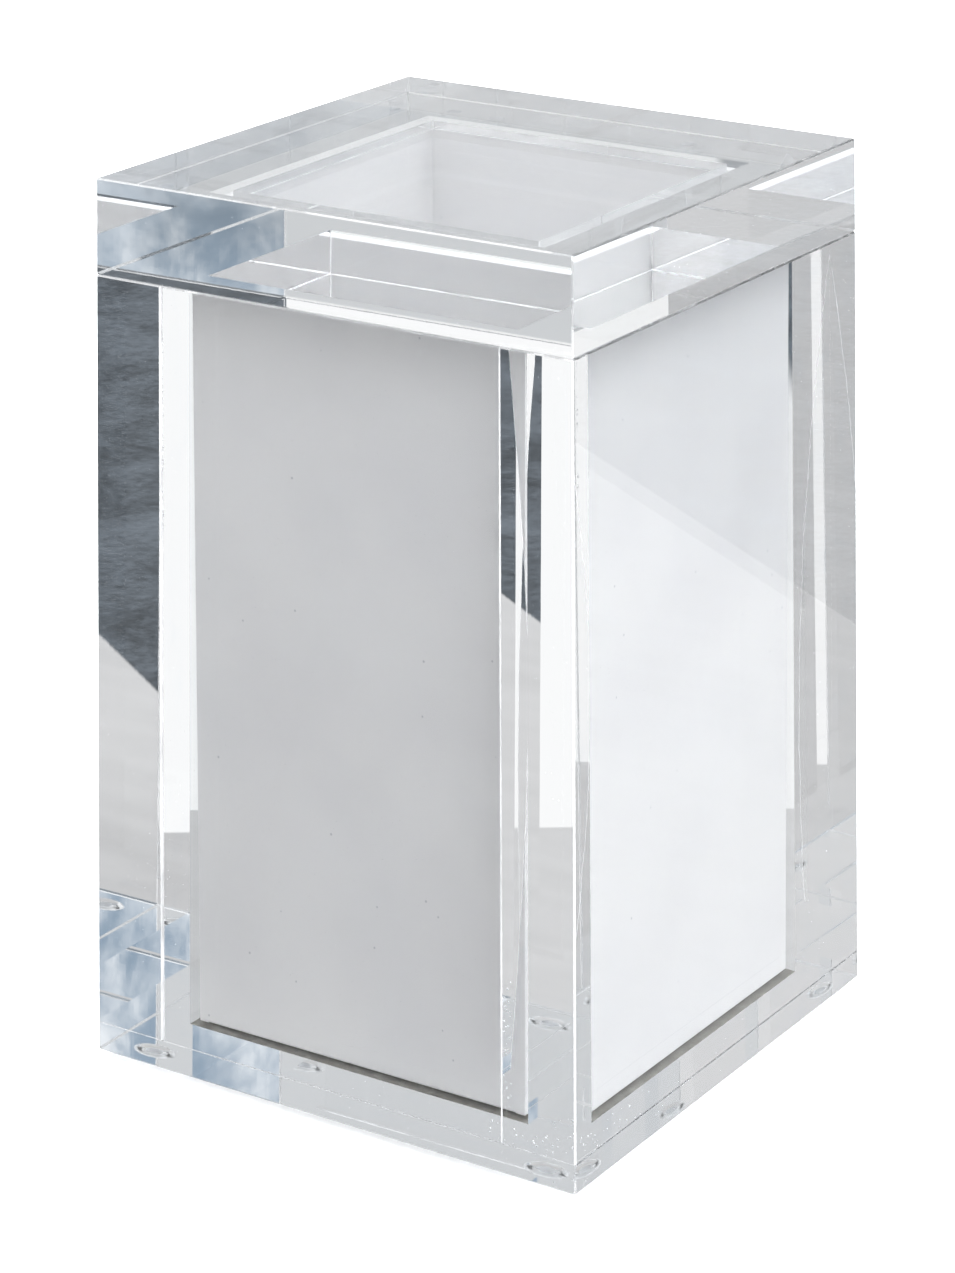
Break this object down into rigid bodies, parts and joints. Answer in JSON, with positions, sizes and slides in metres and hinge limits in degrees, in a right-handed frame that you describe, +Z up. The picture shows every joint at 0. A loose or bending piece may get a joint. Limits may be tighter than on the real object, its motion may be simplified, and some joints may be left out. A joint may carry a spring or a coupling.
{
  "type": "cotton pad holder",
  "caption": "Square clear acrylic canister with thick walls, a white inner box and a solid lift-off lid, for holding round cotton pads.",
  "frame": {"origin": "centre of the footprint, at the underside of the feet", "axes": "+Z up, +X to the right and -Y out of the front face; +Z is also the lid's lift direction"},
  "size_m": [0.09, 0.09, 0.1412],
  "materials": {
    "clear_acrylic": "polished clear",
    "white_acrylic": "opaque white, glossy",
    "clear_foot": "soft clear"
  },
  "bodies": {
    "canister": {"base_plate": "clear_acrylic", "wall_front": "clear_acrylic", "wall_back": "clear_acrylic", "wall_left": "clear_acrylic", "wall_right": "clear_acrylic", "liner_floor": "white_acrylic", "liner_front": "white_acrylic", "liner_back": "white_acrylic", "liner_left": "white_acrylic", "liner_right": "white_acrylic", "foot_front_left": "clear_foot", "foot_front_right": "clear_foot", "foot_back_left": "clear_foot", "foot_back_right": "clear_foot"},
    "lid": {"lid_block": "clear_acrylic", "lid_plug": "clear_acrylic"}
  },
  "joints": [
    {"name": "lid_lift", "type": "slide", "parent": "canister", "child": "lid", "axis": [0, 0, 1], "range_m": [0, 0.1]}
  ]
}
